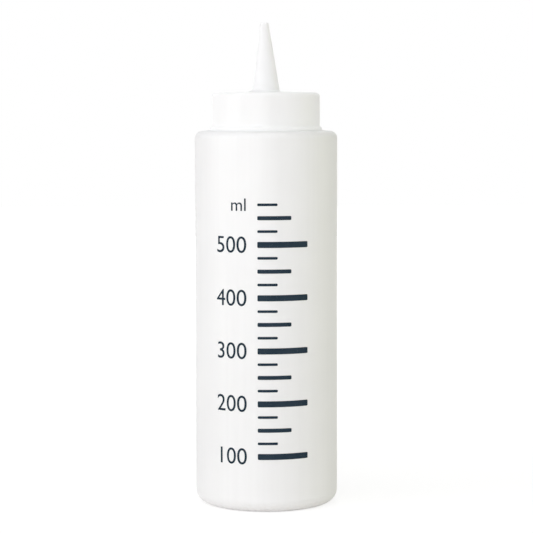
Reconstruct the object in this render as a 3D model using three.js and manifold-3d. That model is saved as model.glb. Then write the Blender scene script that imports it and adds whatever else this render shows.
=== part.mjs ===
// A squeeze bottle for sauces: a blow-moulded bottle with a wide threaded neck, a screw cap that turns about a
// captive cone nozzle, and a flat gasket on the nozzle's plug rim.
// Millimetres, +Z up. The origin is the centre of the foot ring that the bottle stands on.

import * as THREE from "three";
import { mergeVertices } from "three/addons/utils/BufferGeometryUtils.js";
import Module from "manifold-3d";

const wasm = await Module();
wasm.setup();

// Bottle
const bodyDiameter = 72;
const bodyWall = 1.2;
const shoulderHeight = 189.8; // foot to the line of the shoulder at the neck
const shoulderSlope = THREE.MathUtils.degToRad(5);
const shoulderRadius = 3.7; // rounding between shoulder and body
const baseRadius = 5.8; // rounding between body and foot
const footWidth = 4.5; // width of the flat ring that the bottle stands on
const pushUp = 3; // how far the middle of the base is domed up
const neckDiameter = 48.4; // outside the neck's wall, under the thread
const neckWall = 1.8;
const neckHeight = 14.55; // shoulder to lip
const neckRootRadius = 0.8; // rounding between neck and shoulder
const lipRadius = 0.5; // rounding of the lip's two edges

// Screw thread shared by the neck and the cap
const threadLead = 4.233; // six turns to the inch
const threadDepth = 1.1;
const threadRootWidth = 1.9;
const threadCrestWidth = 0.9;
const threadRise = 3.6; // shoulder to the middle of the neck's ridge where it starts
const neckThreadTurns = 1.5;
const capThreadTurns = 1.25;
const capThreadLag = 0.25; // share of a turn by which the cap's ridge starts after the neck's
const threadRunOut = 0.125; // share of a turn over which a ridge's end fades into its wall
const threadSink = 0.5; // how far a ridge's root is buried in its wall

// Gasket
const gasketThickness = 1.2;

// Nozzle
const nozzleLength = 34.65; // cap top to tip
const tipRadius = 2.28; // outside of the cone at its tip
const tipWall = 0.95;
const tipRounding = 0.55;
const coneRootRadius = 7; // outside of the cone at the cap's top
const coneRootWall = 1.5;
const waistStep = 0.25; // how much slimmer the nozzle is where it passes through the cap
const collarOverlap = 1; // how far the flared collar reaches over the rim of the cap's hole
const collarRise = 2; // height over which the cone flares into the collar
const collarEdge = 0.2;
const nozzleFlangeThickness = 1.4;
const plugDepth = 4; // rim that reaches down into the neck
const plugWall = 1.3;

// Cap
const capWall = 1.65;
const capTopThickness = 1.9; // beside the hole
const capTopRise = 0.6; // how far the top slopes up to the hole
const capEdgeRadius = 2.2; // rounding of the top edge
const capFlangeHeight = 2;
const capFlangeOverhang = 1.1;
const capFlangeChamfer = 1;
const capLeadIn = 0.5; // chamfer at the mouth of the cap

// Clearances
const seatGap = 0.05; // between faces that press on each other
const threadGap = 0.3; // between a ridge's crest and the other wall, and between the flanks that bear
const nozzleGap = 0.3; // waist in the cap's hole, and gasket on the plug rim
const plugGap = 0.4; // plug rim in the neck
const edgeGap = 0.2; // how far the nozzle's flange and the gasket stay inside the neck's outline
const skirtGap = 0.3; // cap's foot over the shoulder

// Fineness of the faceted surfaces
const turnFacets = 48;
const arcDivisions = 2; // each arc of a profile has twice as many straight steps

// Radii that follow from the sizes above
const bodyR = bodyDiameter / 2;
const neckR = neckDiameter / 2;
const neckBoreR = neckR - neckWall;
const plugR = neckBoreR - plugGap;
const sealR = neckR - edgeGap;
const capBoreR = neckR + threadDepth + threadGap;
const capR = capBoreR + capWall;
const capFlangeR = capR + capFlangeOverhang;
const waistR = coneRootRadius - waistStep;
const capHoleR = waistR + nozzleGap;
const collarR = capHoleR + collarOverlap;

// Height of the lip, and heights in the closure above the lip
const lipHeight = shoulderHeight + neckHeight;
const gasketFoot = seatGap;
const gasketTop = gasketFoot + gasketThickness;
const flangeFoot = gasketTop + seatGap;
const flangeTop = flangeFoot + nozzleFlangeThickness;
const capUnderside = flangeTop + seatGap;
const capTop = capUnderside + capTopThickness;
const capFootAt = (r) => skirtGap - neckHeight - Math.tan(shoulderSlope) * (r - neckR);

// The cap's ridge runs under the neck's, so that screwing the cap down presses the nozzle on the gasket
const neckThreadStart = shoulderHeight + threadRise;
const flankRun = (threadRootWidth - threadCrestWidth) / 2;
const ridgeSpacing = threadRootWidth - flankRun * (1 + threadGap / threadDepth) + threadGap;

const quarter = Math.PI / 2;

// A solid turned about the Z axis. Its profile gives radius and height, and runs up on the outer side.
function turned(profile, closed) {
  const points = profile.getPoints(arcDivisions);
  if (closed) points.push(points[0].clone());
  return new THREE.LatheGeometry(points, turnFacets).rotateX(quarter);
}

// A geometry as a manifold-3d solid, with its shared corners merged and its flat triangles dropped
function solidOf(geometry) {
  const bare = new THREE.BufferGeometry()
    .setAttribute("position", geometry.getAttribute("position"))
    .setIndex(geometry.index);
  const merged = mergeVertices(bare);
  const corners = [];
  for (let i = 0; i < merged.index.count; i += 3) {
    const [a, b, c] = merged.index.array.subarray(i, i + 3);
    if (a !== b && b !== c && c !== a) corners.push(a, b, c);
  }
  return new wasm.Manifold(
    new wasm.Mesh({
      numProp: 3,
      vertProperties: merged.attributes.position.array,
      triVerts: new Uint32Array(corners),
    }),
  );
}

function geometryOf(solid) {
  const { vertProperties, triVerts } = solid.getMesh();
  const geometry = new THREE.BufferGeometry()
    .setAttribute("position", new THREE.BufferAttribute(vertProperties, 3))
    .setIndex(new THREE.BufferAttribute(triVerts, 1));
  geometry.computeVertexNormals();
  return geometry;
}

// One ridge of a screw thread: a trapezoid carried along a helix, fading into its wall at both ends.
// outward is 1 for a ridge on the outside of a wall and -1 for one on the inside.
function threadRidge({ wallR, outward, startAngle, startHeight, turns }) {
  const steps = Math.round(turns * turnFacets);
  const fadeSteps = threadRunOut * turnFacets;
  const rootR = wallR - outward * threadSink;
  const vertices = [];
  for (let step = 0; step <= steps; step++) {
    const angle = startAngle + (step / turnFacets) * 2 * Math.PI;
    const height = startHeight + (step / turnFacets) * threadLead;
    const fade = Math.min(1, step / fadeSteps, (steps - step) / fadeSteps);
    const crestR = wallR + outward * threadDepth * fade;
    const section = [
      [rootR, -threadRootWidth / 2],
      [crestR, -threadCrestWidth / 2],
      [crestR, threadCrestWidth / 2],
      [rootR, threadRootWidth / 2],
    ];
    for (const [r, offset] of section) {
      vertices.push(r * Math.cos(angle), r * Math.sin(angle), height + offset);
    }
  }

  const sides = 4;
  const faces = [];
  const quad = (...corners) => {
    const [a, b, c, d] = outward > 0 ? corners : corners.reverse();
    faces.push(a, b, c, a, c, d);
  };
  for (let step = 0; step < steps; step++) {
    const here = step * sides;
    const next = here + sides;
    for (let side = 0; side < sides; side++) {
      const other = (side + 1) % sides;
      quad(here + side, next + side, next + other, here + other);
    }
  }
  const last = steps * sides;
  quad(0, 1, 2, 3);
  quad(last + 3, last + 2, last + 1, last);
  return new THREE.BufferGeometry()
    .setAttribute("position", new THREE.Float32BufferAttribute(vertices, 3))
    .setIndex(faces);
}

// The bottle's profile runs from the middle of the base, up the outside, over the lip and down the inside
function makeBottle() {
  const sin = Math.sin(shoulderSlope);
  const cos = Math.cos(shoulderSlope);
  const shoulderAt = (r) => shoulderHeight - Math.tan(shoulderSlope) * (r - neckR);
  const ceilingAt = (r) => shoulderAt(r) - bodyWall / cos;

  const shoulderCentreR = bodyR - shoulderRadius;
  const shoulderCentreZ = shoulderAt(shoulderCentreR + shoulderRadius * sin) - shoulderRadius * cos;
  const shoulderBoreRadius = Math.max(shoulderRadius - bodyWall, lipRadius);
  const shoulderBoreCentreR = bodyR - bodyWall - shoulderBoreRadius;
  const rootCentreR = neckR + neckRootRadius;
  const rootCentreZ = shoulderAt(rootCentreR - neckRootRadius * sin) + neckRootRadius * cos;
  const boreEdgeR = neckBoreR + neckRootRadius;
  const boreEdgeZ = ceilingAt(boreEdgeR - neckRootRadius * sin) + neckRootRadius * cos;

  const footR = bodyR - baseRadius;
  const footBoreRadius = Math.max(baseRadius - bodyWall, lipRadius);
  const domeEdgeR = footR - footWidth;
  const domeRadius = (domeEdgeR ** 2 + pushUp ** 2) / (2 * pushUp);
  const domeCentreZ = pushUp - domeRadius;
  const domeEdge = Math.asin(domeEdgeR / domeRadius);
  const floorEdge = Math.acos((bodyWall - domeCentreZ) / (domeRadius + bodyWall));

  const outerSlope = quarter - shoulderSlope;
  const innerSlope = 3 * quarter - shoulderSlope;
  const profile = new THREE.Path();
  profile.absarc(0, domeCentreZ, domeRadius, quarter, quarter - domeEdge, true);
  profile.lineTo(footR, 0);
  profile.absarc(footR, baseRadius, baseRadius, -quarter, 0);
  profile.absarc(shoulderCentreR, shoulderCentreZ, shoulderRadius, 0, outerSlope);
  profile.absarc(rootCentreR, rootCentreZ, neckRootRadius, innerSlope, 2 * quarter, true);
  profile.absarc(neckR - lipRadius, lipHeight - lipRadius, lipRadius, 0, quarter);
  profile.absarc(neckBoreR + lipRadius, lipHeight - lipRadius, lipRadius, quarter, 2 * quarter);
  profile.absarc(boreEdgeR, boreEdgeZ, neckRootRadius, 2 * quarter, innerSlope);
  profile.absarc(shoulderBoreCentreR, shoulderCentreZ, shoulderBoreRadius, outerSlope, 0, true);
  profile.absarc(bodyR - bodyWall - footBoreRadius, bodyWall + footBoreRadius, footBoreRadius, 0, -quarter, true);
  profile.absarc(0, domeCentreZ, domeRadius + bodyWall, quarter - floorEdge, quarter);

  const ridge = threadRidge({
    wallR: neckR,
    outward: 1,
    startAngle: -quarter,
    startHeight: neckThreadStart,
    turns: neckThreadTurns,
  });
  return geometryOf(solidOf(turned(profile, false)).add(solidOf(ridge)));
}

function makeGasket() {
  const boreR = plugR + nozzleGap;
  const profile = new THREE.Path();
  profile.moveTo(boreR, gasketFoot);
  profile.lineTo(sealR, gasketFoot);
  profile.lineTo(sealR, gasketTop);
  profile.lineTo(boreR, gasketTop);
  return turned(profile, true);
}

// The nozzle's flange and plug rim hang under the cap's top, and its collar rests on it
function makeNozzle() {
  const tipHeight = capTop + nozzleLength;
  const taper = (coneRootRadius - tipRadius) / nozzleLength;
  const taperAngle = Math.atan(taper);
  const coneAt = (height) => tipRadius + taper * (tipHeight - height);
  const tipRound = Math.min(tipRounding, tipWall);
  const tipCentreZ = tipHeight - tipRound;
  const tipCentreR = coneAt(tipCentreZ) - tipRound / Math.cos(taperAngle);
  const collarFoot = capTop + seatGap;
  const collarTop = collarFoot + collarEdge;
  const flareTop = collarTop + collarRise;
  const plugFoot = flangeFoot - plugDepth;
  const plugBoreR = plugR - plugWall;

  const profile = new THREE.Path();
  profile.moveTo(coneRootRadius - coneRootWall, flangeFoot);
  profile.lineTo(plugBoreR, flangeFoot);
  profile.lineTo(plugBoreR, plugFoot);
  profile.lineTo(plugR, plugFoot);
  profile.lineTo(plugR, flangeFoot);
  profile.lineTo(sealR, flangeFoot);
  profile.lineTo(sealR, flangeTop);
  profile.lineTo(waistR, flangeTop);
  profile.lineTo(waistR, collarFoot);
  profile.lineTo(collarR, collarFoot);
  profile.lineTo(collarR, collarTop);
  profile.quadraticCurveTo(coneAt(collarTop), collarTop, coneAt(flareTop), flareTop);
  profile.absarc(tipCentreR, tipCentreZ, tipRound, taperAngle, quarter);
  profile.lineTo(tipRadius - tipWall, tipHeight);
  return turned(profile, true);
}

function makeCap() {
  const mouthR = capBoreR + capLeadIn;
  const flangeTopEdge = capFootAt(capFlangeR) + capFlangeHeight;
  const rimTop = capTop - capTopRise;
  const chamfer = Math.min(capFlangeChamfer, capFlangeOverhang, capFlangeHeight);
  const boreRound = THREE.MathUtils.clamp(capEdgeRadius - capWall, lipRadius, capBoreR - sealR);
  const profile = new THREE.Path();
  profile.moveTo(mouthR, capFootAt(mouthR));
  profile.lineTo(capFlangeR, capFootAt(capFlangeR));
  profile.lineTo(capFlangeR, flangeTopEdge - chamfer);
  profile.lineTo(capFlangeR - chamfer, flangeTopEdge);
  profile.lineTo(capR, flangeTopEdge);
  profile.absarc(capR - capEdgeRadius, rimTop - capEdgeRadius, capEdgeRadius, 0, quarter);
  profile.lineTo(capHoleR, capTop);
  profile.lineTo(capHoleR, capUnderside);
  profile.absarc(capBoreR - boreRound, capUnderside - boreRound, boreRound, quarter, 0, true);
  profile.lineTo(capBoreR, capFootAt(mouthR) + capLeadIn);

  const ridge = threadRidge({
    wallR: capBoreR,
    outward: -1,
    startAngle: capThreadLag * 2 * Math.PI - quarter,
    startHeight: neckThreadStart + capThreadLag * threadLead - ridgeSpacing - lipHeight,
    turns: capThreadTurns,
  });
  return geometryOf(solidOf(turned(profile, true)).add(solidOf(ridge)));
}

// Finishes
const bottleWhite = new THREE.MeshStandardMaterial({ color: 0xf1f1ee, roughness: 0.5, metalness: 0 });
const capWhite = new THREE.MeshStandardMaterial({ color: 0xf8f8f6, roughness: 0.4, metalness: 0 });
const nozzleWhite = new THREE.MeshStandardMaterial({ color: 0xf2f2f3, roughness: 0.4, metalness: 0 });
const gasketGrey = new THREE.MeshStandardMaterial({ color: 0xd9dad8, roughness: 0.8, metalness: 0 });

function piece(name, geometry, material) {
  const mesh = new THREE.Mesh(geometry, material);
  mesh.name = name;
  return mesh;
}

// The closure stands on the bottle's lip
const closure = new THREE.Group();
closure.position.z = lipHeight;
closure.add(
  piece("lip_gasket", makeGasket(), gasketGrey),
  piece("nozzle", makeNozzle(), nozzleWhite),
  piece("screw_cap", makeCap(), capWhite),
);

const squeezeBottle = new THREE.Group();
squeezeBottle.add(piece("bottle", makeBottle(), bottleWhite), closure);

export default squeezeBottle;
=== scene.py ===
# Squeeze bottle for sauces: satin bottle with a volume scale, screw cap, cone nozzle and lip gasket.
# Sizes are in millimetres and angles in degrees; mm turns sizes into Blender's metres.
import math

import bmesh
import bpy
from mathutils import Euler, Matrix, Vector


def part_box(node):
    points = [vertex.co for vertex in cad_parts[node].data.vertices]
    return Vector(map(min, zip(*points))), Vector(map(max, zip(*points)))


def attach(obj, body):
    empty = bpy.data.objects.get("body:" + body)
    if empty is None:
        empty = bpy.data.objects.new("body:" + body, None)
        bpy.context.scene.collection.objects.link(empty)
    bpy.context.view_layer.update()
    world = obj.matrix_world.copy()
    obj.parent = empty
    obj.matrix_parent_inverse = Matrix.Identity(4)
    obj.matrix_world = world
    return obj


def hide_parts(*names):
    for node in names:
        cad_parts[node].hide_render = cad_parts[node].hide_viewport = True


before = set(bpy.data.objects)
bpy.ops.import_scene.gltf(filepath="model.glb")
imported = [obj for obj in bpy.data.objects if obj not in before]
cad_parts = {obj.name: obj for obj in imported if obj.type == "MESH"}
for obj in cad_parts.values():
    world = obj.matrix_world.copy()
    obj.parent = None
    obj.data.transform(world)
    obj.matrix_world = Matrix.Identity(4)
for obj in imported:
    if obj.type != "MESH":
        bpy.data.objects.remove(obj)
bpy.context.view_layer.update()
scene = bpy.context.scene
mm = 0.001


def cadCorners(node):
    low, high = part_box(node)
    return low / mm, high / mm


bottleHigh = cadCorners("bottle")[1]
capHigh = cadCorners("screw_cap")[1]
nozzleLow, nozzleHigh = cadCorners("nozzle")
gasketLow, gasketHigh = cadCorners("lip_gasket")
print("bottle", round(bottleHigh.x * 2, 2), "mm across and", round(nozzleHigh.z, 2), "mm tall")


# Node trees: short helpers that the geometry trees and the materials share
def plug(tree, value, socket):
    if isinstance(value, bpy.types.NodeSocket):
        tree.links.new(value, socket)
    else:
        socket.default_value = value


def addNode(tree, kind, inputs=None, **settings):
    node = tree.nodes.new(kind)
    for name, value in settings.items():
        setattr(node, name, value)
    for name, value in (inputs or {}).items():
        plug(tree, value, node.inputs[name])
    return node


def calc(tree, operation, *values):
    node = addNode(tree, "ShaderNodeMath", operation=operation)
    for value, socket in zip(values, node.inputs):
        plug(tree, value, socket)
    return node.outputs["Value"]


def newTree(name, inputs):
    tree = bpy.data.node_groups.new(name, "GeometryNodeTree")
    for socketName, kind in inputs.items():
        tree.interface.new_socket(socketName, in_out="INPUT", socket_type="NodeSocket" + kind)
    tree.interface.new_socket("Geometry", in_out="OUTPUT", socket_type="NodeSocketGeometry")
    return tree, tree.nodes.new("NodeGroupInput").outputs, tree.nodes.new("NodeGroupOutput").inputs


def endTree(tree, geometry, material, output):
    realized = addNode(tree, "GeometryNodeRealizeInstances", {"Geometry": geometry})
    painted = addNode(tree, "GeometryNodeSetMaterial", {
        "Geometry": realized.outputs[0], "Material": material,
    })
    tree.links.new(painted.outputs["Geometry"], output["Geometry"])


def addModifier(obj, tree, values):
    modifier = obj.modifiers.new(tree.name, "NODES")
    modifier.node_group = tree
    for item in tree.interface.items_tree:
        if item.in_out == "INPUT" and item.name in values:
            modifier[item.identifier] = values[item.name]


def plainMesh(obj):
    graph = bpy.context.evaluated_depsgraph_get()
    return bpy.data.meshes.new_from_object(obj.evaluated_get(graph))


# The evaluated shape becomes the object's own mesh, and the modifiers go
def makePlain(obj):
    mesh = plainMesh(obj)
    mesh.name = obj.name
    obj.modifiers.clear()
    obj.data = mesh
    return obj


def newObject(name, data):
    obj = bpy.data.objects.new(name, data)
    scene.collection.objects.link(obj)
    return obj


# Turned pieces: a wire profile swept round the axis, with thread, mould seam, wall waves and side shift
def makeTurnTree():
    tree, given, output = newTree("turnedPiece", {
        "Profile": "Geometry", "Path Radius": "Float", "Sides": "Int", "Crowding": "Float",
        "Thread Height": "Float", "Thread Angle": "Float", "Thread Lead": "Float", "Thread Turns": "Float",
        "Crest Width": "Float", "Root Width": "Float", "Run Out": "Float",
        "Seam Width": "Float", "Wave Scale": "Float", "Material": "Material",
    })

    def attribute(name):
        return addNode(tree, "GeometryNodeInputNamedAttribute", {"Name": name}).outputs["Attribute"]

    def vector(x, y, z):
        return addNode(tree, "ShaderNodeCombineXYZ", {"X": x, "Y": y, "Z": z}).outputs[0]

    def scaled(direction, length):
        inputs = {"Vector": direction, "Scale": length}
        return addNode(tree, "ShaderNodeVectorMath", inputs, operation="SCALE").outputs[0]

    def smoothStep(value, low, high):
        inputs = {"Value": value, "From Min": low, "From Max": high}
        return addNode(tree, "ShaderNodeMapRange", inputs, interpolation_type="SMOOTHSTEP").outputs["Result"]

    position = addNode(tree, "GeometryNodeInputPosition").outputs[0]
    split = addNode(tree, "ShaderNodeSeparateXYZ", {"Vector": position}).outputs
    squares = [calc(tree, "POWER", split[axis], 2.0) for axis in ("X", "Y")]
    radius = calc(tree, "SQRT", calc(tree, "ADD", *squares))
    angle = calc(tree, "ARCTAN2", split["Y"], split["X"])

    # sweep, and close the poles
    wire = addNode(tree, "GeometryNodeMeshToCurve", {"Mesh": given["Profile"]}).outputs[0]
    path = addNode(tree, "GeometryNodeCurvePrimitiveCircle", {
        "Resolution": given["Sides"], "Radius": given["Path Radius"],
    }).outputs["Curve"]
    swept = addNode(tree, "GeometryNodeCurveToMesh", {"Curve": path, "Profile Curve": wire}).outputs[0]
    poleReach = 0.005 * mm
    atPole = calc(tree, "LESS_THAN", radius, poleReach)
    merged = addNode(tree, "GeometryNodeMergeByDistance", {
        "Geometry": swept, "Selection": atPole, "Distance": poleReach * 2,
    }).outputs[0]
    turned = addNode(tree, "GeometryNodeFlipFaces", {"Mesh": merged}).outputs[0]

    # sides crowd together towards the mould seam at +X and -X
    swing = calc(tree, "MULTIPLY", calc(tree, "SINE", calc(tree, "MULTIPLY", angle, 2.0)), given["Crowding"])
    crowded = calc(tree, "SUBTRACT", angle, calc(tree, "MULTIPLY", swing, 0.5))
    x = calc(tree, "MULTIPLY", radius, calc(tree, "COSINE", crowded))
    y = calc(tree, "MULTIPLY", radius, calc(tree, "SINE", crowded))
    spaced = addNode(tree, "GeometryNodeSetPosition", {
        "Geometry": turned, "Position": vector(x, y, split["Z"]),
    }).outputs[0]

    # thread: the nearest ridge of a helix, with smooth flanks and ends that fade out
    lead = given["Thread Lead"]
    fromStart = calc(tree, "SUBTRACT", angle, given["Thread Angle"])
    turnShare = calc(tree, "FRACT", calc(tree, "DIVIDE", fromStart, math.tau))
    above = calc(tree, "SUBTRACT", split["Z"], given["Thread Height"])
    rise = calc(tree, "SUBTRACT", above, calc(tree, "MULTIPLY", lead, turnShare))
    nearest = calc(tree, "ROUND", calc(tree, "DIVIDE", rise, lead))
    offset = calc(tree, "ABSOLUTE", calc(tree, "SUBTRACT", rise, calc(tree, "MULTIPLY", nearest, lead)))
    turn = calc(tree, "ADD", nearest, turnShare)
    toEnd = calc(tree, "MINIMUM", turn, calc(tree, "SUBTRACT", given["Thread Turns"], turn))
    fade = smoothStep(toEnd, 0.0, given["Run Out"])
    halfRoot = calc(tree, "MULTIPLY", given["Root Width"], 0.5)
    halfCrest = calc(tree, "MULTIPLY", given["Crest Width"], 0.5)
    ridge = calc(tree, "MULTIPLY", fade, smoothStep(offset, halfRoot, halfCrest))
    threadPush = calc(tree, "MULTIPLY", ridge, attribute("threadDepth"))
    radial = vector(calc(tree, "COSINE", angle), calc(tree, "SINE", angle), 0.0)

    # mould seam: a low round ridge where the mould's halves met
    across = calc(tree, "DIVIDE", split["Y"], given["Seam Width"])
    seam = calc(tree, "EXPONENT", calc(tree, "MULTIPLY", calc(tree, "POWER", across, 2.0), -1.0))
    seamPush = calc(tree, "MULTIPLY", seam, attribute("seamHeight"))

    # the wall of a blown bottle draws in a little here and there
    waves = addNode(tree, "ShaderNodeTexNoise", {
        "Vector": position, "Scale": given["Wave Scale"], "Detail": 1.0,
    })
    wavePush = calc(tree, "MULTIPLY", waves.outputs["Fac"], attribute("waveDepth"))
    normal = addNode(tree, "GeometryNodeInputNormal").outputs["Normal"]
    wallPush = calc(tree, "SUBTRACT", seamPush, wavePush)
    sideways = vector(attribute("sideShift"), 0.0, 0.0)
    pushes = addNode(tree, "ShaderNodeVectorMath", {
        0: scaled(radial, threadPush), 1: scaled(normal, wallPush),
    })
    moves = addNode(tree, "ShaderNodeVectorMath", {0: pushes.outputs[0], 1: sideways})
    formed = addNode(tree, "GeometryNodeSetPosition", {
        "Geometry": spaced, "Offset": moves.outputs[0],
    }).outputs[0]
    smooth = addNode(tree, "GeometryNodeSetShadeSmooth", {"Geometry": formed}).outputs[0]
    endTree(tree, smooth, given["Material"], output)
    return tree


turnTree = makeTurnTree()
sameSpot = 0.001  # profile points closer than this are one
thread = {
    "lead": 4.233,
    "depth": 1.1,
    "crestWidth": 0.7,
    "rootWidth": 2.0,
    "runOut": 0.125,  # share of a turn
}


def line(start, end, steps=1, hold=0.0):
    length = math.dist(start, end)
    shares = [step / steps for step in range(steps + 1)]
    if 0 < hold < length / 2:  # points beside the ends keep a flat face flat
        shares += [hold / length, 1 - hold / length]
    return [
        (start[0] + (end[0] - start[0]) * share, start[1] + (end[1] - start[1]) * share)
        for share in sorted(shares)
    ]


def arc(centreR, centreZ, radius, fromAngle, toAngle, steps=8):
    angles = [math.radians(fromAngle + (toAngle - fromAngle) * step / steps) for step in range(steps + 1)]
    return [(centreR + radius * math.cos(a), centreZ + radius * math.sin(a)) for a in angles]


# A run is a list of points with its own depths, as numbers or as rules of height.
# Runs go up the outer side. Values that a piece leaves out, such as a thread's, stay at nought.
def turnedPiece(name, runs, closed, sides, material, values):
    points = []
    columns = {"threadDepth": [], "seamHeight": [], "waveDepth": [], "sideShift": []}
    for run, depths in runs:
        for point in run:
            if points and math.dist(point, points[-1]) < sameSpot:
                continue
            points.append(point)
            for key, column in columns.items():
                depth = depths.get(key, 0.0)
                column.append((depth(point[1]) if callable(depth) else depth) * mm)
    pathRadius = max(r for r, z in points)
    edges = [(index, index + 1) for index in range(len(points) - 1)]
    if closed:
        edges.append((len(points) - 1, 0))
    wire = bpy.data.meshes.new(name)
    wire.from_pydata([((r - pathRadius) * mm, -z * mm, 0) for r, z in points], edges, [])
    for key, column in columns.items():
        wire.attributes.new(key, "FLOAT", "POINT").data.foreach_set("value", column)
    obj = newObject(name, wire)
    addModifier(obj, turnTree, {
        "Path Radius": pathRadius * mm, "Sides": sides, "Thread Lead": thread["lead"] * mm,
        "Crest Width": thread["crestWidth"] * mm, "Root Width": thread["rootWidth"] * mm,
        "Run Out": thread["runOut"], "Material": material, **values,
    })
    makePlain(obj)
    for key in columns:
        obj.data.attributes.remove(obj.data.attributes[key])
    print(name, "turned with", len(obj.data.vertices), "points")
    return obj


# Materials
def newMaterial(name):
    material = bpy.data.materials.new(name)
    material.use_nodes = True
    tree = material.node_tree
    return material, tree, tree.nodes["Principled BSDF"].inputs


def ownPlace(tree):
    return addNode(tree, "ShaderNodeTexCoord").outputs["Object"]


def noise(tree, coordinates, scale, detail=2.0, stretch=(1.0, 1.0, 1.0)):
    mapped = addNode(tree, "ShaderNodeMapping", {"Vector": coordinates, "Scale": stretch}).outputs[0]
    inputs = {"Vector": mapped, "Scale": scale, "Detail": detail}
    return addNode(tree, "ShaderNodeTexNoise", inputs).outputs["Fac"]


def spread(tree, value, low, high, fromLow=0.3, fromHigh=0.7):
    node = addNode(tree, "ShaderNodeMapRange", {
        "Value": value, "From Min": fromLow, "From Max": fromHigh, "To Min": low, "To Max": high,
    })
    return node.outputs["Result"]


def blendColours(tree, share, first, second):
    node = addNode(tree, "ShaderNodeMix", data_type="RGBA")
    plug(tree, share, node.inputs[0])
    for socket, value in ((node.inputs[6], first), (node.inputs[7], second)):  # the colour sockets
        plug(tree, value if isinstance(value, bpy.types.NodeSocket) else (*value, 1.0), socket)
    return node.outputs[2]


def addBump(tree, shader, height, look):
    bump = addNode(tree, "ShaderNodeBump", {
        "Height": height, "Strength": look["bumpStrength"], "Distance": look["bumpDepth"] * mm,
    })
    plug(tree, bump.outputs["Normal"], shader["Normal"])


# What the three plastics have in common
moulding = {
    "lineDetail": 3.0,
    "grainDetail": 3.0,
    "cloudShare": 0.6,
    "lineShare": 0.4,
    "toneRange": (0.35, 0.65),  # of the mixed noise, from the darker to the lighter colour
    "refraction": 1.5,
    "glowRadius": (1.0, 0.95, 0.88),  # red light travels furthest inside
}


# Scuffs near the foot, where the piece slides on tables
def addScuffs(tree, coordinates, colour, sheen, scuff):
    height = addNode(tree, "ShaderNodeSeparateXYZ", {"Vector": coordinates}).outputs["Z"]
    nearFoot = spread(tree, height, 1.0, 0.0, 0.0, scuff["height"] * mm)
    marks = noise(tree, coordinates, scuff["scale"], scuff["detail"])
    share = calc(tree, "MULTIPLY", nearFoot, spread(tree, marks, 0.0, 1.0, *scuff["range"]))
    worn = blendColours(tree, calc(tree, "MULTIPLY", share, scuff["strength"]), colour, scuff["colour"])
    return worn, calc(tree, "ADD", sheen, calc(tree, "MULTIPLY", share, scuff["roughening"]))


# Moulded plastic: cloudy colour, flow lines along the mould and fine grain
def makePlastic(name, look):
    material, tree, shader = newMaterial(name)
    coordinates = ownPlace(tree)
    clouds = noise(tree, coordinates, look["cloudScale"])
    along = (1.0, 1.0, look["lineStretch"])
    lines = noise(tree, coordinates, look["lineScale"], moulding["lineDetail"], along)
    grain = noise(tree, coordinates, look["grainScale"], moulding["grainDetail"])

    cloudPart = calc(tree, "MULTIPLY", clouds, moulding["cloudShare"])
    linePart = calc(tree, "MULTIPLY", lines, moulding["lineShare"])
    tone = spread(tree, calc(tree, "ADD", cloudPart, linePart), 0.0, 1.0, *moulding["toneRange"])
    colour = blendColours(tree, tone, look["darker"], look["lighter"])
    sheen = spread(tree, lines, look["smoothest"], look["roughest"])
    if "scuff" in look:
        colour, sheen = addScuffs(tree, coordinates, colour, sheen, look["scuff"])
    plug(tree, colour, shader["Base Color"])
    plug(tree, sheen, shader["Roughness"])
    relief = calc(tree, "ADD", grain, calc(tree, "MULTIPLY", lines, look["lineRelief"]))
    addBump(tree, shader, relief, look)
    shader["IOR"].default_value = moulding["refraction"]
    shader["Subsurface Weight"].default_value = look["glow"]
    shader["Subsurface Radius"].default_value = moulding["glowRadius"]
    shader["Subsurface Scale"].default_value = look["glowDepth"] * mm
    shader["Diffuse Roughness"].default_value = look["chalkiness"]
    return material


bottlePlastic = makePlastic("bottlePlastic", {
    "darker": (0.834, 0.837, 0.842), "lighter": (0.864, 0.867, 0.872),
    "cloudScale": 22.0, "lineScale": 420.0, "lineStretch": 0.012, "grainScale": 2100.0,
    "smoothest": 0.36, "roughest": 0.46, "lineRelief": 1.5, "bumpStrength": 0.12, "bumpDepth": 0.12,
    "glow": 0.1, "glowDepth": 3.0, "chalkiness": 0.0,
    "scuff": {
        "colour": (0.74, 0.73, 0.71), "height": 5.0, "scale": 600.0, "detail": 4.0, "range": (0.5, 0.62),
        "strength": 0.5, "roughening": 0.15,
    },
})
capPlastic = makePlastic("capPlastic", {
    "darker": (0.87, 0.872, 0.876), "lighter": (0.89, 0.892, 0.896),
    "cloudScale": 30.0, "lineScale": 300.0, "lineStretch": 0.2, "grainScale": 2600.0,
    "smoothest": 0.32, "roughest": 0.4, "lineRelief": 0.6, "bumpStrength": 0.1, "bumpDepth": 0.1,
    "glow": 0.1, "glowDepth": 1.5, "chalkiness": 1.0,
})
nozzlePlastic = makePlastic("nozzlePlastic", {
    "darker": (0.868, 0.87, 0.877), "lighter": (0.888, 0.89, 0.897),
    "cloudScale": 40.0, "lineScale": 500.0, "lineStretch": 0.05, "grainScale": 2600.0,
    "smoothest": 0.33, "roughest": 0.42, "lineRelief": 0.8, "bumpStrength": 0.1, "bumpDepth": 0.1,
    "glow": 0.0, "glowDepth": 1.5, "chalkiness": 1.0,
})


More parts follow.
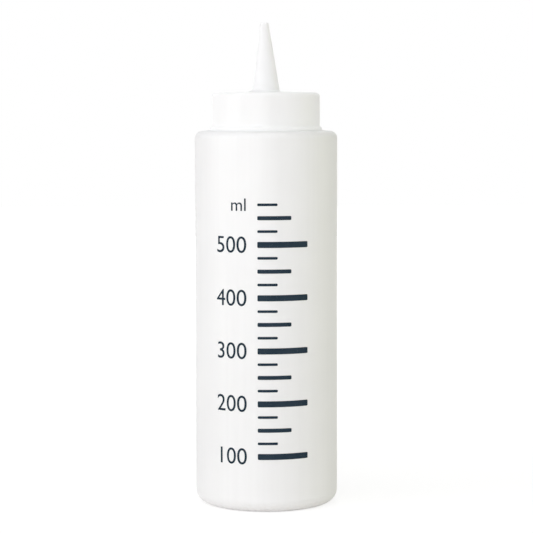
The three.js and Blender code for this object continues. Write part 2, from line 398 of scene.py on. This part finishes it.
# Sealing foam: small closed cells
def makeFoam():
    look = {
        "dark": (0.66, 0.66, 0.65), "light": (0.78, 0.78, 0.76), "cellScale": 2400.0,
        "cellRange": (0.1, 0.6), "smoothest": 0.7, "roughest": 0.9, "bumpStrength": 0.4, "bumpDepth": 0.15,
    }
    material, tree, shader = newMaterial("gasketFoam")
    cells = addNode(tree, "ShaderNodeTexVoronoi", {
        "Vector": ownPlace(tree), "Scale": look["cellScale"],
    }).outputs["Distance"]
    tone = spread(tree, cells, 0.0, 1.0, *look["cellRange"])
    plug(tree, blendColours(tree, tone, look["dark"], look["light"]), shader["Base Color"])
    sheen = spread(tree, cells, look["roughest"], look["smoothest"], *look["cellRange"])
    plug(tree, sheen, shader["Roughness"])
    addBump(tree, shader, cells, look)
    return material


# Screen ink: a thin slate film, a little uneven, with specks where it did not take
def makeInk():
    look = {
        "thick": (0.016, 0.031, 0.047), "thin": (0.022, 0.038, 0.055), "speck": (0.2, 0.22, 0.23),
        "cloudScale": 160.0, "cloudDetail": 3.0, "speckScale": 2600.0, "speckRange": (0.70, 0.76),
        "sheenScale": 700.0, "sheenDetail": 3.0, "smoothest": 0.5, "roughest": 0.66, "gloss": 0.08,
        "grainScale": 1500.0, "bumpStrength": 0.15, "bumpDepth": 0.05,
    }
    material, tree, shader = newMaterial("scaleInk")
    coordinates = ownPlace(tree)
    clouds = spread(tree, noise(tree, coordinates, look["cloudScale"], look["cloudDetail"]), 0.0, 1.0)
    body = blendColours(tree, clouds, look["thick"], look["thin"])
    specks = spread(tree, noise(tree, coordinates, look["speckScale"]), 0.0, 1.0, *look["speckRange"])
    plug(tree, blendColours(tree, specks, body, look["speck"]), shader["Base Color"])
    uneven = noise(tree, coordinates, look["sheenScale"], look["sheenDetail"])
    plug(tree, spread(tree, uneven, look["smoothest"], look["roughest"]), shader["Roughness"])
    shader["Specular IOR Level"].default_value = look["gloss"]
    addBump(tree, shader, noise(tree, coordinates, look["grainScale"]), look)
    return material


gasketFoam = makeFoam()
scaleInk = makeInk()
print("materials made")


# Bottle
bottle = {
    "bodyR": bottleHigh.x,
    "lipZ": bottleHigh.z,
    "wall": 1.2,
    "neckHeight": 14.55,
    "shoulderSlope": 5.0,
    "shoulderRadius": 3.7,
    "baseRadius": 6.3,
    "footWidth": 4.5,
    "pushUp": 3.0,  # how far the middle of the base is domed up
    "neckR": 24.2,
    "neckWall": 1.8,
    "rootRadius": 0.8,
    "lipRadius": 0.5,
    "threadRise": 3.6,
    "threadTurns": 1.5,
    "threadAngle": -90.0,
    "seamHeight": 0.08,
    "seamWidth": 0.3,
    "weldHeight": 0.3,  # pinched weld across the base
    "waveDepth": 0.06,
    "waveScale": 26.0,
    "sides": 256,
    "crowding": 0.75,
}


def shoulderAt(r):
    drop = math.tan(math.radians(bottle["shoulderSlope"])) * (r - bottle["neckR"])
    return bottle["lipZ"] - bottle["neckHeight"] - drop


# Edge and radius of the dome that the base is pushed up to
def baseDome():
    edge = bottle["bodyR"] - bottle["baseRadius"] - bottle["footWidth"]
    return edge, (edge ** 2 + bottle["pushUp"] ** 2) / (2 * bottle["pushUp"])


def makeBottle(size):
    slope = math.radians(size["shoulderSlope"])
    bodyR, wall, neckR = size["bodyR"], size["wall"], size["neckR"]
    bend, root, lip, base = size["shoulderRadius"], size["rootRadius"], size["lipRadius"], size["baseRadius"]

    def ceilingAt(r):
        return shoulderAt(r) - wall / math.cos(slope)

    bendR = bodyR - bend
    bendZ = shoulderAt(bendR + bend * math.sin(slope)) - bend * math.cos(slope)
    rootR = neckR + root
    rootZ = shoulderAt(rootR - root * math.sin(slope)) + root * math.cos(slope)
    boreR = neckR - size["neckWall"]
    edgeZ = ceilingAt(boreR + root - root * math.sin(slope)) + root * math.cos(slope)
    brimZ = size["lipZ"] - lip
    footR = bodyR - base
    domeEdge, domeR = baseDome()
    domeZ = size["pushUp"] - domeR
    domeAngle = math.degrees(math.asin(domeEdge / domeR))
    floorAngle = math.degrees(math.acos((wall - domeZ) / (domeR + wall)))

    # the outer side, from the middle of the base to the lip
    flat = 90 - size["shoulderSlope"]
    dome = arc(0, domeZ, domeR, 90, 90 - domeAngle, steps=16)
    foot = line((domeEdge, 0), (footR, 0), steps=2, hold=0.3)
    baseBend = arc(footR, base, base, -90, 0, steps=12)
    side = line((bodyR, base), (bodyR, bendZ), steps=36, hold=0.6)
    shoulderBend = arc(bendR, bendZ, bend, 0, flat, steps=12)
    neckBend = arc(rootR, rootZ, root, 180 + flat, 180, steps=6)
    shoulder = line(shoulderBend[-1], neckBend[0], steps=3, hold=0.4)
    neck = line((neckR, rootZ), (neckR, brimZ), steps=60)
    lipOut = arc(neckR - lip, brimZ, lip, 0, 90, steps=6)

    # the inside, from the lip back down
    lipIn = arc(boreR + lip, brimZ, lip, 90, 180, steps=6)
    boreBend = arc(boreR + root, edgeZ, root, 180, 180 + flat, steps=6)
    bore = line((boreR, brimZ), (boreR, edgeZ), steps=4, hold=0.4)
    inBend = arc(bendR, bendZ, bend - wall, flat, 0, steps=8)
    ceiling = line(boreBend[-1], inBend[0], steps=3, hold=0.4)
    inside = line((bodyR - wall, bendZ), (bodyR - wall, base), steps=12, hold=0.6)
    floorBend = arc(footR, base, base - wall, 0, -90, steps=8)
    floor = arc(0, domeZ, domeR + wall, 90 - floorAngle, 90, steps=12)

    seam = {"seamHeight": size["seamHeight"]}
    weldEnd = len(dome) - 2  # the weld stops short of the foot
    seamStart = 4  # the seam starts a third of the way up the base's edge
    runs = [
        (dome[:weldEnd], {"seamHeight": size["weldHeight"]}),
        (dome[weldEnd:] + foot + baseBend[:seamStart], {}),
        (baseBend[seamStart:], seam),
        (side, {**seam, "waveDepth": size["waveDepth"]}),
        (shoulderBend + shoulder, seam),
        (neckBend, {}),
        (neck, {"threadDepth": thread["depth"]}),
        (lipOut + lipIn + bore + boreBend + ceiling + inBend + inside + floorBend + floor, {}),
    ]
    return turnedPiece("bottle_shell", runs, False, size["sides"], bottlePlastic, {
        "Crowding": size["crowding"], "Seam Width": size["seamWidth"] * mm, "Wave Scale": size["waveScale"],
        "Thread Height": (shoulderAt(neckR) + size["threadRise"]) * mm, "Thread Turns": size["threadTurns"],
        "Thread Angle": math.radians(size["threadAngle"]),
    })


bottleShell = makeBottle(bottle)
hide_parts("bottle")
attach(bottleShell, "bottle")


# Screw cap
cap = {
    "wallR": 27.25,
    "boreR": 25.6,
    "rimR": capHigh.x,
    "topZ": capHigh.z,
    "topThickness": 1.9,
    "topRise": 0.6,  # the top slopes up to the hole
    "edgeRadius": 2.2,
    "innerRadius": 0.55,
    "holeR": 7.05,
    "leadIn": 0.5,
    "rimHeight": 0.9,  # upright band of the bead round the foot
    "rimSlope": 48.0,
    "rimRound": 0.6,
    "rimFillet": 0.6,
    "rimEdge": 0.02,
    "smallRound": 0.25,
    "threadRise": 3.095,
    "threadTurns": 1.25,
    "threadAngle": 0.0,
    "sides": 256,
}


def makeCap(size):
    small, tip, fillet = size["smallRound"], size["rimRound"], size["rimFillet"]
    bend, inner, edge = size["edgeRadius"], size["innerRadius"], size["rimEdge"]
    slope = math.radians(size["rimSlope"])
    topZ, rimR, wallR, boreR = size["topZ"], size["rimR"], size["wallR"], size["boreR"]
    holeR, underZ = size["holeR"], topZ - size["topThickness"]
    mouthR = boreR + size["leadIn"]
    mouthZ = shoulderAt(mouthR)
    footZ = shoulderAt(rimR)
    brimZ = topZ - size["topRise"]

    # the foot and the bead round it
    footRound = arc(rimR - edge, footZ + edge, edge, -90, 0, steps=4)
    foot = line((mouthR, mouthZ), footRound[0], hold=0.3)
    rimTip = arc(rimR - tip, footZ + edge + size["rimHeight"], tip, 0, size["rimSlope"], steps=5)
    filletR = wallR + fillet
    slopeRun = (rimTip[-1][0] - filletR + fillet * math.cos(slope)) / math.sin(slope)
    filletZ = rimTip[-1][1] + slopeRun * math.cos(slope) + fillet * math.sin(slope)
    rimFillet = arc(filletR, filletZ, fillet, 180 + size["rimSlope"], 180, steps=5)

    # the wall, the top with its hole, and the inside
    side = line((wallR, filletZ), (wallR, brimZ - bend), steps=8, hold=0.5)
    topEdge = arc(wallR - bend, brimZ - bend, bend, 0, 90, steps=12)
    top = line((wallR - bend, brimZ), (holeR + small, topZ), steps=5, hold=0.4)
    holeEdge = arc(holeR + small, topZ - small, small, 90, 180, steps=5)
    holeFoot = arc(holeR + small, underZ + small, small, 180, 270, steps=5)
    under = line((holeR + small, underZ), (boreR - inner, underZ), steps=4, hold=0.4)
    innerEdge = arc(boreR - inner, underZ - inner, inner, 90, 0, steps=6)
    bore = line((boreR, underZ - inner), (boreR, mouthZ + size["leadIn"]), steps=64)
    bead = foot + footRound + rimTip + rimFillet
    shell = side + topEdge + top + holeEdge + holeFoot + under + innerEdge
    runs = [(bead + shell, {}), (bore, {"threadDepth": -thread["depth"]})]
    return turnedPiece("cap_shell", runs, True, size["sides"], capPlastic, {
        "Thread Height": (shoulderAt(bottle["neckR"]) + size["threadRise"]) * mm,
        "Thread Turns": size["threadTurns"], "Thread Angle": math.radians(size["threadAngle"]),
    })


capShell = makeCap(cap)
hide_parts("screw_cap")
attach(capShell, "cap")


# Nozzle
nozzle = {
    "tipZ": nozzleHigh.z,
    "tipR": 2.12,
    "tipBoreR": 0.9,
    "tipRound": 0.95,
    "rootR": 6.84,
    "rootBoreR": 5.5,
    "waistR": 6.75,
    "collarR": 7.9,
    "rootShift": 0.22,
    "collarShift": -0.84,  # the collar spreads more on the side that the cone bends to
    "collarFootZ": cap["topZ"],
    "collarEdge": 0.2,
    "collarRound": 0.03,
    "collarRise": 2.0,
    "flangeR": nozzleHigh.x,
    "flangeThickness": 1.4,
    "flangeGap": 0.05,  # under the cap's top plate
    "plugFootZ": nozzleLow.z,
    "plugR": 22.0,
    "plugWall": 1.3,
    "smallRound": 0.25,
    "lean": -0.0295,  # sideways for each millimetre up: the cone bends to the left as it leaves the cap
    "sides": 160,
}


def makeNozzle(size):
    small, tipZ, tipRound = size["smallRound"], size["tipZ"], size["tipRound"]
    waistR, collarR, rootBoreR = size["waistR"], size["collarR"], size["rootBoreR"]
    plugR, plugFoot, flangeR = size["plugR"], size["plugFootZ"], size["flangeR"]
    plugBore = plugR - size["plugWall"]
    flangeTop = cap["topZ"] - cap["topThickness"] - size["flangeGap"]
    flangeFoot = flangeTop - size["flangeThickness"]
    collarFoot = size["collarFootZ"]
    collarTop = collarFoot + size["collarEdge"]
    flareTop = collarTop + size["collarRise"]
    taper = (size["rootR"] - size["tipR"]) / (tipZ - cap["topZ"])
    taperAngle = math.degrees(math.atan(taper))

    def coneAt(z):
        return size["tipR"] + taper * (tipZ - z)

    # a curve from the collar's edge into the cone
    def flareAt(share):
        start, end = (collarR, collarTop), (coneAt(flareTop), flareTop)
        corner = (coneAt(collarTop), collarTop)
        return tuple(
            (1 - share) ** 2 * a + 2 * share * (1 - share) * b + share ** 2 * c
            for a, b, c in zip(start, corner, end)
        )

    def shiftAt(z):
        return (size["rootShift"] + size["lean"] * (z - cap["topZ"])) if z > cap["topZ"] else 0.0

    def collarShiftAt(z):
        fade = max(0.0, 1 - (z - collarFoot) / (flareTop - collarFoot))
        return shiftAt(z) + size["collarShift"] * fade ** 2

    # plug rim in the neck, sealing flange and waist in the cap's hole
    under = line((rootBoreR + small, flangeFoot), (plugBore, flangeFoot), steps=4, hold=0.4)
    plugIn = line((plugBore, flangeFoot), (plugBore, plugFoot + small), steps=2, hold=0.3)
    plugEdge = arc(plugBore + small, plugFoot + small, small, 180, 270)
    plugEdge += arc(plugR - small, plugFoot + small, small, -90, 0)
    plugOut = line((plugR, plugFoot + small), (plugR, flangeFoot), steps=2, hold=0.3)
    flangeUnder = line((plugR, flangeFoot), (flangeR - small, flangeFoot), hold=0.3)
    flangeEdge = arc(flangeR - small, flangeFoot + small, small, -90, 0)
    flangeEdge += arc(flangeR - small, flangeTop - small, small, 0, 90)
    flangeUp = line((flangeR - small, flangeTop), (waistR, flangeTop), steps=4, hold=0.3)
    waist = line((waistR, flangeTop), (waistR, collarFoot), steps=2, hold=0.2)
    below = under + plugIn + plugEdge + plugOut + flangeUnder + flangeEdge + flangeUp + waist

    # collar on the cap's top, and its flare
    footRound = size["collarRound"]
    footR = collarR - footRound
    flareSteps = 10
    collar = line((waistR, collarFoot), (footR, collarFoot))
    collar += arc(footR, collarFoot + footRound, footRound, -90, 0, steps=4)
    flare = [flareAt(step / flareSteps) for step in range(flareSteps + 1)]

    # cone, rounded tip and tapered bore
    tipCentreZ = tipZ - tipRound
    tipCentreR = coneAt(tipCentreZ) - tipRound / math.cos(math.radians(taperAngle))
    tip = arc(tipCentreR, tipCentreZ, tipRound, taperAngle, 90)
    cone = line(flare[-1], tip[0], steps=14, hold=0.4)
    tipIn = arc(size["tipBoreR"] + small, tipZ - small, small, 90, 180 + taperAngle, steps=6)
    bore = line(tipIn[-1], (rootBoreR, flangeFoot + small), steps=10, hold=0.4)
    boreEdge = arc(rootBoreR + small, flangeFoot + small, small, 180, 270, steps=5)
    above = cone + tip + tipIn + bore + boreEdge[:-1]  # the last point is the first one again

    runs = [(below, {}), (collar + flare, {"sideShift": collarShiftAt}), (above, {"sideShift": shiftAt})]
    return turnedPiece("nozzle_cone", runs, True, size["sides"], nozzlePlastic, {})


nozzleCone = makeNozzle(nozzle)
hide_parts("nozzle")
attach(nozzleCone, "nozzle")


# Gasket
gasket = {
    "innerR": 22.3,
    "outerR": gasketHigh.x,
    "footZ": gasketLow.z,
    "topZ": gasketHigh.z,
    "edgeRadius": 0.15,
    "edgeSteps": 4,
    "sides": 160,
}


def makeGasket(size):
    edge, steps = size["edgeRadius"], size["edgeSteps"]
    inR, outR = size["innerR"] + edge, size["outerR"] - edge
    lowZ, highZ = size["footZ"] + edge, size["topZ"] - edge
    outline = arc(inR, lowZ, edge, 180, 270, steps) + arc(outR, lowZ, edge, -90, 0, steps)
    outline += arc(outR, highZ, edge, 0, 90, steps) + arc(inR, highZ, edge, 90, 180, steps)
    return turnedPiece("gasket_ring", [(outline, {})], True, size["sides"], gasketFoam, {})


gasketRing = makeGasket(gasket)
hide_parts("lip_gasket")
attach(gasketRing, "nozzle")


# Volume scale printed on the front: bars every 25 ml, numbers every 100 ml
volumeScale = {
    "firstVolume": 100,
    "lastVolume": 575,
    "volumeStep": 25,
    "longEvery": 4,  # steps from one long bar, which has a number, to the next
    "middleEvery": 2,
    "spineAt": -4.4,  # where the bars start, along the wall from the middle of the front
    "longBar": (26.0, 3.0),
    "middleBar": (17.0, 2.0),
    "shortBar": (10.0, 1.3),
    "barRound": 0.5,
    "roundSteps": 5,
    "numberSize": 11.7,
    "numberGap": 5.2,  # from the bars to the numbers
    "unitSize": 9.0,
    "digitMiddle": 0.041,  # the digits' middle above the text's own centre, as a share of the size
    "digitSteps": 6,
    "stripWidth": 0.8,  # the flat print is cut in strips that bend with the wall
    "filmProud": 0.03,
    "filmSunk": 0.12,
    "mergeReach": 0.002,  # points closer than this are one
}


# Height of the liquid's surface for a volume in ml, from the bottle's inside
def fillHeight(volume):
    millilitre = 1000  # cubic millimetres
    cornerCentre = 0.22  # of what a round corner takes away, from the wall as a share of the radius
    innerR = bottle["bodyR"] - bottle["wall"]
    cornerR = bottle["baseRadius"] - bottle["wall"]
    domeR = baseDome()[1] + bottle["wall"]
    dome = math.pi * bottle["pushUp"] ** 2 * (domeR - bottle["pushUp"] / 3)
    corner = math.tau * (innerR - cornerR * cornerCentre) * (1 - math.pi / 4) * cornerR ** 2
    return bottle["wall"] + (volume * millilitre + dome + corner) / (math.pi * innerR ** 2)


def makeBarTree():
    tree, given, output = newTree("scaleBars", {
        "Start": "Vector", "Step": "Vector", "Count": "Int", "Long Every": "Int", "Middle Every": "Int",
        "Long Bar": "Vector", "Middle Bar": "Vector", "Short Bar": "Vector",
        "Corner Radius": "Float", "Corner Steps": "Int", "Material": "Material",
    })

    # a bar with round corners that starts at its left end
    def barOf(size):
        split = addNode(tree, "ShaderNodeSeparateXYZ", {"Vector": size}).outputs
        shape = addNode(tree, "GeometryNodeCurvePrimitiveQuadrilateral", {
            "Width": split["X"], "Height": split["Y"],
        })
        rounded = addNode(tree, "GeometryNodeFilletCurve", {
            "Curve": shape.outputs[0], "Radius": given["Corner Radius"], "Limit Radius": True,
            "Count": given["Corner Steps"],
        }, mode="POLY")
        filled = addNode(tree, "GeometryNodeFillCurve", {"Curve": rounded.outputs[0]}, mode="NGONS")
        half = addNode(tree, "ShaderNodeCombineXYZ", {"X": calc(tree, "MULTIPLY", split["X"], 0.5)})
        moved = addNode(tree, "GeometryNodeTransform", {
            "Geometry": filled.outputs[0], "Translation": half.outputs[0],
        })
        return addNode(tree, "GeometryNodeGeometryToInstance", {"Geometry": moved.outputs[0]}).outputs[0]

    bars = addNode(tree, "GeometryNodeJoinGeometry")
    for name in ("Short Bar", "Middle Bar", "Long Bar"):  # joined last first
        tree.links.new(barOf(given[name]), bars.inputs[0])
    points = addNode(tree, "GeometryNodeMeshLine", {
        "Count": given["Count"], "Start Location": given["Start"], "Offset": given["Step"],
    })
    index = addNode(tree, "GeometryNodeInputIndex").outputs[0]
    notLong = calc(tree, "MINIMUM", calc(tree, "MODULO", index, given["Long Every"]), 1.0)
    notMiddle = calc(tree, "MODULO", index, given["Middle Every"])
    placed = addNode(tree, "GeometryNodeInstanceOnPoints", {
        "Points": points.outputs[0], "Instance": bars.outputs[0], "Pick Instance": True,
        "Instance Index": calc(tree, "ADD", notLong, notMiddle),
    })
    endTree(tree, placed.outputs[0], given["Material"], output)
    return tree


def makeBars(size):
    lowest = fillHeight(size["firstVolume"])
    step = fillHeight(size["firstVolume"] + size["volumeStep"]) - lowest
    count = (size["lastVolume"] - size["firstVolume"]) // size["volumeStep"] + 1

    def flatSize(pair):
        return (pair[0] * mm, pair[1] * mm, 0.0)

    obj = newObject("scaleBars", bpy.data.meshes.new("scaleBars"))
    addModifier(obj, makeBarTree(), {
        "Start": flatSize((size["spineAt"], lowest)), "Step": flatSize((0.0, step)), "Count": count,
        "Long Every": size["longEvery"], "Middle Every": size["middleEvery"],
        "Long Bar": flatSize(size["longBar"]), "Middle Bar": flatSize(size["middleBar"]),
        "Short Bar": flatSize(size["shortBar"]), "Corner Radius": size["barRound"] * mm,
        "Corner Steps": size["roundSteps"], "Material": scaleInk,
    })
    return makePlain(obj)


def makeNumber(size, text, textSize, height):
    curve = bpy.data.curves.new("number" + text, "FONT")
    curve.body = text
    curve.size = textSize * mm
    curve.align_x = "RIGHT"
    curve.align_y = "CENTER"
    curve.resolution_u = size["digitSteps"]
    middle = size["digitMiddle"] * textSize
    place = Matrix.Translation(((size["spineAt"] - size["numberGap"]) * mm, (height - middle) * mm, 0.0))
    obj = newObject(curve.name, curve)
    bpy.context.view_layer.update()
    mesh = plainMesh(obj)
    mesh.transform(place)
    bpy.data.objects.remove(obj)
    return mesh


# The flat marks are cut in narrow strips, bent round the wall and given the film's thickness
def makeScale(size):
    bars = makeBars(size)
    marks = bmesh.new()
    marks.from_mesh(bars.data)
    bpy.data.objects.remove(bars)
    numberStep = size["volumeStep"] * size["longEvery"]
    for volume in range(size["firstVolume"], size["lastVolume"] + 1, numberStep):
        marks.from_mesh(makeNumber(size, str(volume), size["numberSize"], fillHeight(volume)))
    marks.from_mesh(makeNumber(size, "ml", size["unitSize"], fillHeight(size["lastVolume"])))

    # a face that has no height joins its neighbour
    mergeReach = size["mergeReach"] * mm
    bmesh.ops.remove_doubles(marks, verts=marks.verts, dist=mergeReach)
    thin = []
    for face in marks.faces:
        longest = max(face.edges, key=lambda edge: edge.calc_length())
        noHeight = 2 * face.calc_area() < mergeReach * longest.calc_length()
        if noHeight and longest not in thin:
            thin.append(longest)
    bmesh.ops.dissolve_edges(marks, edges=thin)

    # strips
    left = min(vert.co.x for vert in marks.verts)
    right = max(vert.co.x for vert in marks.verts)
    strip = size["stripWidth"] * mm
    for cut in range(1, int((right - left) / strip) + 1):
        bmesh.ops.bisect_plane(
            marks, geom=marks.verts[:] + marks.edges[:] + marks.faces[:], dist=mergeReach,
            plane_co=(left + cut * strip, 0.0, 0.0), plane_no=(1.0, 0.0, 0.0),
        )

    # thickness and bend
    marks.normal_update()
    bmesh.ops.reverse_faces(marks, faces=[face for face in marks.faces if face.normal.z < 0])
    lifted = bmesh.ops.extrude_face_region(marks, geom=marks.faces[:])  # turns the faces below round
    upper = {element for element in lifted["geom"] if isinstance(element, bmesh.types.BMVert)}
    bodyR = bottle["bodyR"] * mm
    for vert in marks.verts:
        along, height = vert.co.x, vert.co.y
        reach = bodyR + (size["filmProud"] if vert in upper else -size["filmSunk"]) * mm
        vert.co = (reach * math.sin(along / bodyR), -reach * math.cos(along / bodyR), height)
    mesh = bpy.data.meshes.new("volume_scale")
    marks.to_mesh(mesh)
    marks.free()
    mesh.materials.clear()
    mesh.materials.append(scaleInk)
    print("volume scale printed with", len(mesh.polygons), "faces")
    return newObject("volume_scale", mesh)


scalePrint = makeScale(volumeScale)
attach(scalePrint, "bottle")


# Camera at the photograph's place
shot = {
    "distance": 1000.0,
    "height": 200.82,
    "aside": 0.107,
    "pitch": 4.606,
    "roll": -0.127,
    "focalPixels": 1970.8,
    "imageWidth": 533.0,
    "sensorWidth": 36.0,
}


def placeCamera(size):
    data = bpy.data.cameras.new("camera")
    data.sensor_width = size["sensorWidth"]
    data.lens = size["focalPixels"] * size["sensorWidth"] / size["imageWidth"]
    camera = newObject("camera", data)
    camera.location = (size["aside"] * mm, -size["distance"] * mm, size["height"] * mm)
    tilt = Euler((math.radians(90 - size["pitch"]), 0.0, 0.0)).to_matrix()
    turn = Matrix.Rotation(math.radians(size["roll"]), 3, "Z")
    camera.rotation_euler = (tilt @ turn).to_euler()
    scene.camera = camera
    print("camera placed")


placeCamera(shot)


# Studio: pale floor and world that look white, with wide soft lamps mostly from the left
studio = {
    "floorSize": 6000.0,
    "floorColour": (0.9, 0.87, 0.855),
    "floorWhite": 0.78,  # white that the floor shows by itself beside the object
    "whitens": (150.0, 900.0),  # from here to here the floor turns all white
    "floorShade": (0.32, 0.32, 0.32),  # how much of the light and shadow on it shows besides
    "worldColour": (1.0, 1.0, 1.0),
    "worldLight": 0.257,
    "aim": (0.0, 0.0, 120.0),
}
lamps = {
    "side": {"power": 17.1, "place": (-1900.0, -620.0, 480.0), "size": (1400.0, 1500.0)},
    "front": {"power": 8.4, "place": (-415.0, -1955.0, 480.0), "size": (1400.0, 1500.0)},
    "right": {"power": 9.2, "place": (1415.0, -1415.0, 480.0), "size": (1400.0, 1500.0)},
    "edge": {
        "power": 3.5, "place": (1990.0, 175.0, 480.0), "size": (1400.0, 1500.0), "colour": (0.9, 1.0, 0.1),
    },
    "top": {"power": 10.2, "place": (-200.0, -500.0, 1700.0), "size": (1500.0, 1500.0)},
    "back": {
        "power": 12.0, "place": (0.0, 1990.0, 480.0), "size": (500.0, 1500.0), "mirrored": False,
    },
    "low": {"power": 5.0, "place": (-700.0, -1850.0, 130.0), "size": (1600.0, 220.0)},
}


# Rays that show floor and world white; all others carry light to the object
def seenRays(tree):
    rays = addNode(tree, "ShaderNodeLightPath").outputs
    seen = calc(tree, "MAXIMUM", rays["Is Camera Ray"], rays["Is Glossy Ray"])
    return calc(tree, "MAXIMUM", seen, rays["Is Transmission Ray"])


def makeFloor(size):
    half = size["floorSize"] * mm / 2
    corners = [(-half, -half, 0), (half, -half, 0), (half, half, 0), (-half, half, 0)]
    mesh = bpy.data.meshes.new("floor")
    mesh.from_pydata(corners, [], [(0, 1, 2, 3)])
    floor = newObject("floor", mesh)
    material = bpy.data.materials.new("floorPaper")
    material.use_nodes = True
    tree = material.node_tree
    tree.nodes.clear()
    away = addNode(tree, "ShaderNodeVectorMath", {0: ownPlace(tree)}, operation="LENGTH").outputs["Value"]
    near, far = (reach * mm for reach in size["whitens"])
    whiteness = spread(tree, away, size["floorWhite"], 1.0, near, far)
    lit = addNode(tree, "ShaderNodeBsdfDiffuse", {"Color": (*size["floorColour"], 1.0)}).outputs[0]
    shade = addNode(tree, "ShaderNodeBsdfDiffuse", {"Color": (*size["floorShade"], 1.0)}).outputs[0]
    white = addNode(tree, "ShaderNodeEmission", {"Strength": whiteness}).outputs[0]
    seen = addNode(tree, "ShaderNodeAddShader", {0: shade, 1: white}).outputs[0]
    mixed = addNode(tree, "ShaderNodeMixShader", {0: seenRays(tree), 1: lit, 2: seen}).outputs[0]
    addNode(tree, "ShaderNodeOutputMaterial", {"Surface": mixed})
    mesh.materials.append(material)


def makeWorld(size):
    world = bpy.data.worlds.new("studioWorld")
    world.use_nodes = True
    tree = world.node_tree
    tree.nodes.clear()
    light = addNode(tree, "ShaderNodeBackground", {
        "Color": (*size["worldColour"], 1.0), "Strength": size["worldLight"],
    }).outputs[0]
    white = addNode(tree, "ShaderNodeBackground", {
        "Color": (1.0, 1.0, 1.0, 1.0), "Strength": 1.0,
    }).outputs[0]
    mixed = addNode(tree, "ShaderNodeMixShader", {0: seenRays(tree), 1: light, 2: white}).outputs[0]
    addNode(tree, "ShaderNodeOutputWorld", {"Surface": mixed})
    scene.world = world


def addLamp(name, look, aim):
    data = bpy.data.lights.new(name, "AREA")
    data.shape = "RECTANGLE"
    data.size, data.size_y = (value * mm for value in look["size"])
    data.energy = look["power"]
    data.color = look.get("colour", (1.0, 1.0, 1.0))
    lamp = newObject(name, data)
    lamp.visible_glossy = look.get("mirrored", True)
    lamp.location = [value * mm for value in look["place"]]
    towards = Vector([value * mm for value in aim]) - lamp.location
    lamp.rotation_euler = towards.to_track_quat("-Z", "Y").to_euler()


makeFloor(studio)
makeWorld(studio)
for lampName, lampLook in lamps.items():
    addLamp(lampName, lampLook, studio["aim"])
scene.view_settings.view_transform = "Standard"
print("studio lit")
